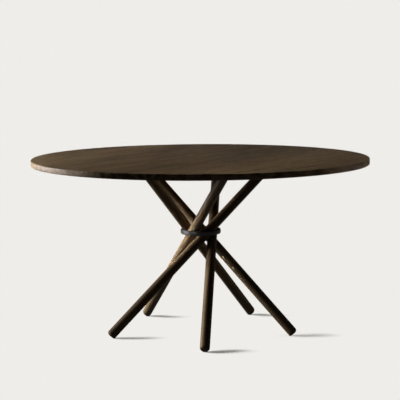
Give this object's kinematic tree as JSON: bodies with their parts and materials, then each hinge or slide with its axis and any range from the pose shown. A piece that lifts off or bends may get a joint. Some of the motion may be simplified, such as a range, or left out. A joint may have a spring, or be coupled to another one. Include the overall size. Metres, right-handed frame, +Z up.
{
  "type": "round dining table",
  "caption": "Round oak dining table with an edge-glued top on leaning round legs that cross like a sheaf inside a steel ring.",
  "frame": {"origin": "on the floor, under the middle of the round top", "axes": "+Z up; +X along the top's boards, towards the foot of the first leg; the picture looks from azimuth -55 degrees"},
  "size_m": [1.4, 1.4, 0.735],
  "materials": {
    "oak_boards": "smoked and oiled, matt",
    "oak_legs": "smoked and oiled, matt",
    "beech_tongues": "sawn",
    "coated_steel": "powder coated, fine texture",
    "blackened_steel": "blackened, satin",
    "zinc_screws": "zinc plated",
    "black_screws": "black oxide",
    "felt": "pressed felt"
  },
  "bodies": {
    "root": {"top_board_1": "oak_boards", "top_board_2": "oak_boards", "top_board_3": "oak_boards", "top_board_4": "oak_boards", "top_board_5": "oak_boards", "top_board_6": "oak_boards", "top_board_7": "oak_boards", "top_board_8": "oak_boards", "top_board_9": "oak_boards", "top_board_10": "oak_boards", "top_board_11": "oak_boards", "top_board_12": "oak_boards", "board_tongues": "beech_tongues", "stiffener_channel_1": "coated_steel", "stiffener_channel_2": "coated_steel", "channel_screws": "zinc_screws", "leg_1": "oak_legs", "leg_2": "oak_legs", "leg_3": "oak_legs", "leg_4": "oak_legs", "leg_5": "oak_legs", "foot_pad_1": "felt", "foot_pad_2": "felt", "foot_pad_3": "felt", "foot_pad_4": "felt", "foot_pad_5": "felt", "leg_plate_1": "coated_steel", "leg_plate_2": "coated_steel", "leg_plate_3": "coated_steel", "leg_plate_4": "coated_steel", "leg_plate_5": "coated_steel", "plate_screws": "zinc_screws", "spigot_pins": "zinc_screws", "waist_ring": "blackened_steel", "ring_set_screws": "black_screws"}
  },
  "joints": []
}
